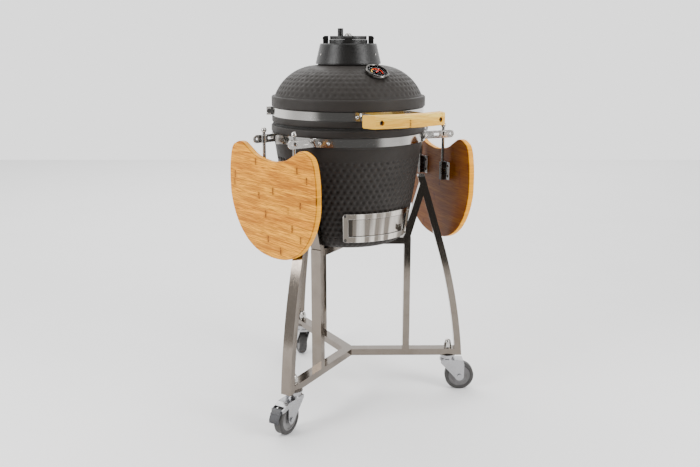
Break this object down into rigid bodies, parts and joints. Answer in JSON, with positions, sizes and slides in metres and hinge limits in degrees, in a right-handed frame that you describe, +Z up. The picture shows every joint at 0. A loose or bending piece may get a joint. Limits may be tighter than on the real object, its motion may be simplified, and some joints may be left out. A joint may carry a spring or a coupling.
{
  "type": "kamado ceramic grill",
  "caption": "Ceramic kamado grill with hinged dome, band clamps, folding bamboo side shelves and a bowed bamboo handle on a three-legged steel cart with swivel casters.",
  "frame": {"origin": "on the floor under the bowl axis", "axes": "+Z up along the bowl axis, the draft door and the handle face -Y, +X to the right"},
  "size_m": [0.632, 0.6506, 0.985],
  "materials": {
    "stainless": "satin",
    "bright_steel": "satin",
    "ceramic": "matte",
    "felt": "matte",
    "fireclay": "matte",
    "cast_iron": "satin",
    "bamboo": "satin",
    "black_steel": "satin",
    "dial": "satin",
    "lens": "gloss",
    "needle": "satin",
    "wheel_plastic": "satin",
    "tyre": "matte",
    "pedal": "satin"
  },
  "bodies": {
    "cart": {"leg_front_left": "stainless", "leg_front_right": "stainless", "leg_back": "stainless", "leg_top_caps": "bright_steel", "caster_stems": "bright_steel", "caster_nuts": "bright_steel", "bowl": "ceramic", "bowl_gasket": "felt", "fire_box": "fireclay", "fire_ring": "fireclay", "charcoal_grate": "cast_iron", "cooking_grid": "bright_steel", "bowl_band": "bright_steel", "bowl_band_bolts": "bright_steel", "shelf_arms": "bright_steel", "shelf_arm_bolts": "bright_steel", "draft_frame": "bright_steel", "draft_frame_screws": "bright_steel", "draft_screen": "bright_steel", "hinge_lower_bracket": "bright_steel", "hinge_pin": "bright_steel"},
    "lid": {"dome": "ceramic", "dome_gasket": "felt", "dome_band": "bright_steel", "dome_band_bolts": "bright_steel", "hinge_upper_bracket": "bright_steel", "handle_bar": "bamboo", "handle_brackets": "bright_steel", "handle_screws": "black_steel", "vent_chimney": "cast_iron", "vent_screws": "bright_steel", "vent_pivot": "bright_steel", "thermometer_case": "black_steel", "thermometer_bezel": "bright_steel", "thermometer_dial": "dial", "thermometer_lens": "lens"},
    "vent_cap": {"vent_disc": "cast_iron", "vent_post": "cast_iron"},
    "needle": {"thermometer_needle": "needle"},
    "draft_slide": {"draft_door": "bright_steel"},
    "left_shelf": {"left_board": "bamboo", "left_rods": "bright_steel", "left_eyes": "bright_steel", "left_rod_clamps": "black_steel", "left_clamp_screws": "bright_steel"},
    "right_shelf": {"right_board": "bamboo", "right_rods": "bright_steel", "right_eyes": "bright_steel", "right_rod_clamps": "black_steel", "right_clamp_screws": "bright_steel"},
    "caster_front_left": {"fork_front_left": "bright_steel"},
    "caster_front_right": {"fork_front_right": "bright_steel"},
    "caster_back": {"fork_back": "bright_steel"},
    "roll_front_left": {"wheel_front_left": "wheel_plastic", "tyre_front_left": "tyre"},
    "roll_front_right": {"wheel_front_right": "wheel_plastic", "tyre_front_right": "tyre"},
    "roll_back": {"wheel_back": "wheel_plastic", "tyre_back": "tyre"},
    "pedal_front_left": {"brake_front_left": "pedal"}
  },
  "joints": [
    {"name": "lid_hinge", "type": "hinge", "parent": "cart", "child": "lid", "pos_m": [0, 0.232, 0.75], "axis": [-1, 0, 0], "range_deg": [0, 80]},
    {"name": "vent_turn", "type": "hinge", "parent": "lid", "child": "vent_cap", "pos_m": [0, 0, 0.96], "axis": [0, 0, 1], "continuous": true},
    {"name": "needle_turn", "type": "hinge", "parent": "lid", "child": "needle", "pos_m": [0, -0.13679, 0.87826], "axis": [0, -0.4848, 0.8746], "range_deg": [-200, 30]},
    {"name": "draft_door_slide", "type": "hinge", "parent": "cart", "child": "draft_slide", "pos_m": [0, 0, 0.5], "axis": [0, 0, 1], "range_deg": [-20, 0]},
    {"name": "left_shelf_swing", "type": "hinge", "parent": "cart", "child": "left_shelf", "pos_m": [-0.22638, -0.03585, 0.716], "axis": [-0.1564, 0.9877, 0], "range_deg": [0, 90]},
    {"name": "right_shelf_swing", "type": "hinge", "parent": "cart", "child": "right_shelf", "pos_m": [0.23635, -0.03744, 0.716], "axis": [-0.1564, -0.9877, 0], "range_deg": [0, 90]},
    {"name": "swivel_front_left", "type": "hinge", "parent": "cart", "child": "caster_front_left", "pos_m": [-0.23972, -0.1384, 0.09], "axis": [0, 0, 1], "continuous": true},
    {"name": "wheel_roll_front_left", "type": "hinge", "parent": "caster_front_left", "child": "roll_front_left", "pos_m": [-0.26974, -0.15436, 0.04], "axis": [0.4695, -0.8829, 0], "continuous": true},
    {"name": "swivel_front_right", "type": "hinge", "parent": "cart", "child": "caster_front_right", "pos_m": [0.23972, -0.1384, 0.09], "axis": [0, 0, 1], "continuous": true},
    {"name": "wheel_roll_front_right", "type": "hinge", "parent": "caster_front_right", "child": "roll_front_right", "pos_m": [0.26886, -0.15591, 0.04], "axis": [0.515, 0.8572, 0], "continuous": true},
    {"name": "swivel_back", "type": "hinge", "parent": "cart", "child": "caster_back", "pos_m": [0, 0.2768, 0.09], "axis": [0, 0, 1], "continuous": true},
    {"name": "wheel_roll_back", "type": "hinge", "parent": "caster_back", "child": "roll_back", "pos_m": [0.0088, 0.30964, 0.04], "axis": [-0.9659, 0.2588, 0], "continuous": true},
    {"name": "brake_pedal_front_left", "type": "hinge", "parent": "caster_front_left", "child": "pedal_front_left", "pos_m": [-0.29976, -0.17032, 0.074], "axis": [0.4695, -0.8829, 0], "range_deg": [0, 12]}
  ]
}
